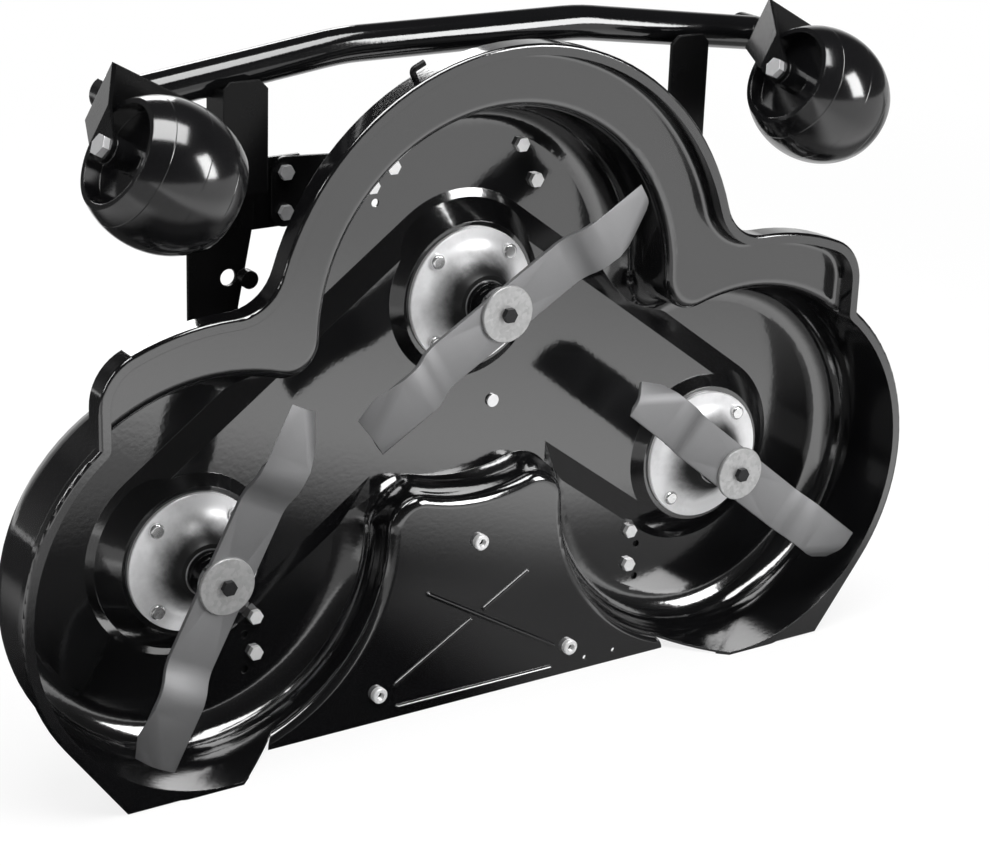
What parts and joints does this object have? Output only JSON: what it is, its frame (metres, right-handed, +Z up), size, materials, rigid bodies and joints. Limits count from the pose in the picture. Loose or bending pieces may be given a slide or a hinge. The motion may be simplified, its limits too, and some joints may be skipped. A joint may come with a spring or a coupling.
{
  "type": "lawn mower deck",
  "caption": "Pressed steel mower deck with overlapping blade chambers, spindles with cutting blades, belt drive, carrying arms and front castor wheels, stood on its rear edge.",
  "frame": {"origin": "centre of the bounding box at the floor, under the deck stood on its rear edge", "axes": "+X across the deck to the right as seen from the underside, +Y through the deck from the underside to the pulley side, +Z up, towards the deck's front"},
  "size_m": [0.9988, 0.256, 0.6789],
  "materials": {
    "black_paint": "gloss black stoved paint on pressed steel",
    "cast_zinc": "bare bright castings, slightly dull",
    "blade_steel": "dull grey heat-treated steel",
    "plated_steel": "bright zinc plating",
    "black_plastic": "satin black moulded plastic",
    "belt_rubber": "matt black rubber"
  },
  "bodies": {
    "deck": {"deck_shell": "black_paint", "panel_nuts": "plated_steel", "drive_belt": "belt_rubber", "idler_arm": "black_paint", "idler_axle_bolt": "plated_steel", "idler_pivot_bolt": "plated_steel", "idler_nuts": "plated_steel", "front_tube": "black_paint", "arm_left": "black_paint", "arm_right": "black_paint", "bracket_left": "black_paint", "bracket_right": "black_paint", "housing_bolts": "plated_steel", "housing_nuts": "plated_steel", "roof_bolts": "plated_steel", "roof_nuts": "plated_steel", "lug_bolts": "plated_steel", "lug_nuts": "plated_steel", "cable_hook": "plated_steel", "spindle_housing_left": "cast_zinc", "bearings_left": "plated_steel", "spindle_housing_centre": "cast_zinc", "bearings_centre": "plated_steel", "spindle_housing_right": "cast_zinc", "bearings_right": "plated_steel"},
    "spindle_left": {"spindle_shaft_left": "plated_steel", "blade_hub_left": "black_paint", "blade_left": "blade_steel", "blade_washer_left": "plated_steel", "blade_bolt_left": "plated_steel", "pulley_left": "plated_steel", "pulley_nut_left": "plated_steel"},
    "spindle_centre": {"spindle_shaft_centre": "plated_steel", "blade_hub_centre": "black_paint", "blade_centre": "blade_steel", "blade_washer_centre": "plated_steel", "blade_bolt_centre": "plated_steel", "pulley_centre": "plated_steel", "pulley_nut_centre": "plated_steel"},
    "spindle_right": {"spindle_shaft_right": "plated_steel", "blade_hub_right": "black_paint", "blade_right": "blade_steel", "blade_washer_right": "plated_steel", "blade_bolt_right": "plated_steel", "pulley_right": "plated_steel", "pulley_nut_right": "plated_steel"},
    "idler": {"idler_pulley": "plated_steel"},
    "castor_left": {"castor_fork_left": "black_paint", "castor_clip_left": "plated_steel", "axle_bolt_left": "plated_steel", "axle_nut_left": "plated_steel"},
    "roller_left": {"wheel_left": "black_plastic"},
    "castor_right": {"castor_fork_right": "black_paint", "castor_clip_right": "plated_steel", "axle_bolt_right": "plated_steel", "axle_nut_right": "plated_steel"},
    "roller_right": {"wheel_right": "black_plastic"}
  },
  "joints": [
    {"name": "blade_spin_centre", "type": "hinge", "parent": "deck", "child": "spindle_centre", "pos_m": [0, 0.016, 0.412], "axis": [0, 1, 0], "continuous": true},
    {"name": "blade_spin_left", "type": "hinge", "parent": "deck", "child": "spindle_left", "pos_m": [-0.295, 0.016, 0.197], "axis": [0, 1, 0], "continuous": true},
    {"name": "blade_spin_right", "type": "hinge", "parent": "deck", "child": "spindle_right", "pos_m": [0.295, 0.016, 0.197], "axis": [0, 1, 0], "continuous": true},
    {"name": "idler_spin", "type": "hinge", "parent": "deck", "child": "idler", "pos_m": [0.036, 0.092, 0.1794], "axis": [0, 1, 0], "continuous": true},
    {"name": "castor_swivel_left", "type": "hinge", "parent": "deck", "child": "castor_left", "pos_m": [-0.35, 0.046, 0.631], "axis": [0, 1, 0], "continuous": true},
    {"name": "castor_swivel_right", "type": "hinge", "parent": "deck", "child": "castor_right", "pos_m": [0.35, 0.046, 0.631], "axis": [0, 1, 0], "continuous": true},
    {"name": "wheel_spin_left", "type": "hinge", "parent": "castor_left", "child": "roller_left", "pos_m": [-0.36939, -0.063, 0.59602], "axis": [0.8746, 0, -0.4848], "continuous": true},
    {"name": "wheel_spin_right", "type": "hinge", "parent": "castor_right", "child": "roller_right", "pos_m": [0.33061, -0.063, 0.59602], "axis": [0.8746, 0, -0.4848], "continuous": true}
  ],
  "couplings": [
    {"joint": "blade_spin_left", "follows": "blade_spin_centre", "ratio": 1},
    {"joint": "blade_spin_right", "follows": "blade_spin_centre", "ratio": 1},
    {"joint": "idler_spin", "follows": "blade_spin_centre", "ratio": 1.6429}
  ]
}
